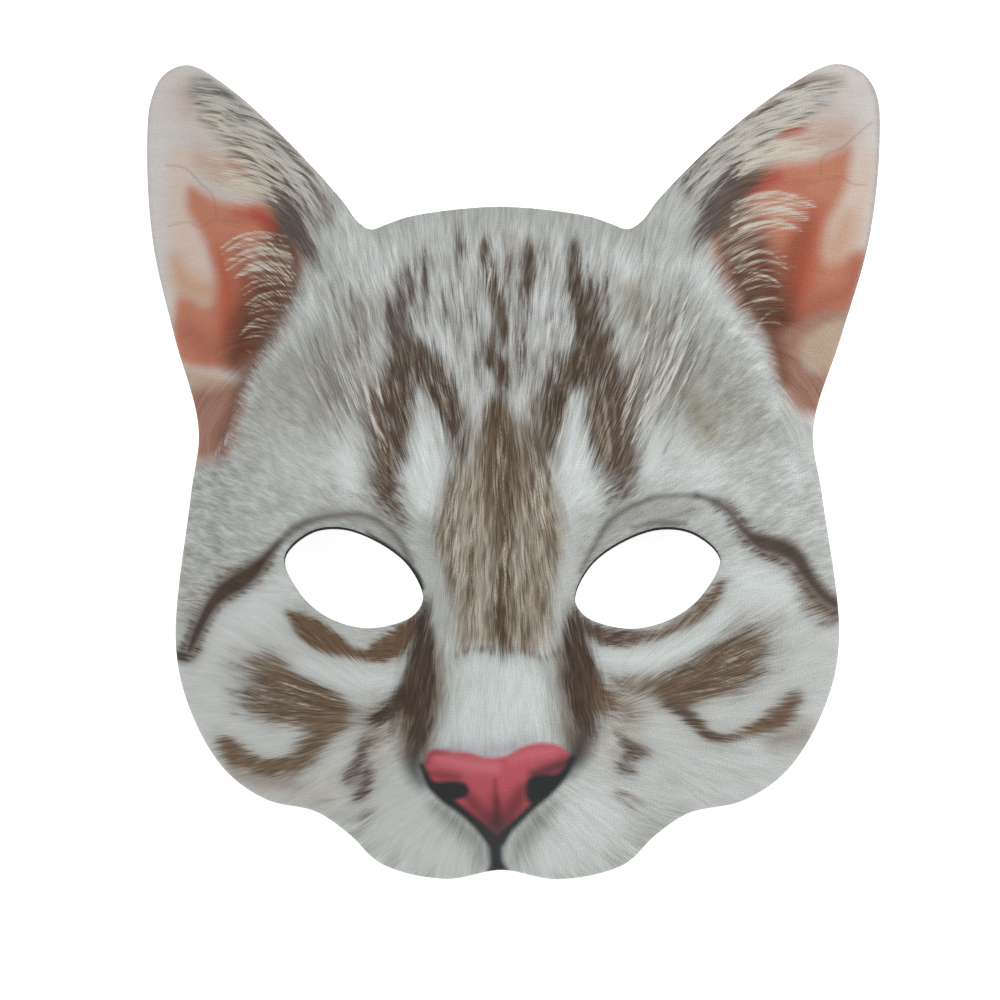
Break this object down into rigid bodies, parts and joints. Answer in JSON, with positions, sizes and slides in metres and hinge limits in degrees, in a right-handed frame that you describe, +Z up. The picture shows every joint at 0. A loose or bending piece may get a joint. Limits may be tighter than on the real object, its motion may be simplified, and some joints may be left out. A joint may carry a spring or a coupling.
{
  "type": "cat half mask",
  "caption": "Moulded cat half mask with upright ears, slanted eye holes and a short muzzle, printed as a grey tabby.",
  "frame": {"origin": "middle of the box around the mask, on the table it lies on", "axes": "+X to the right of someone who looks at the face, +Y from the nose to the ears, +Z up, away from the table and out of the face"},
  "size_m": [0.203, 0.2291, 0.068],
  "materials": {
    "printed_knit": "matte knit cloth printed with grey tabby fur, pink ears and a red nose",
    "foam_rubber": "matte dark foam"
  },
  "bodies": {
    "root": {"face_cloth": "printed_knit", "foam_shell": "foam_rubber"}
  },
  "joints": []
}
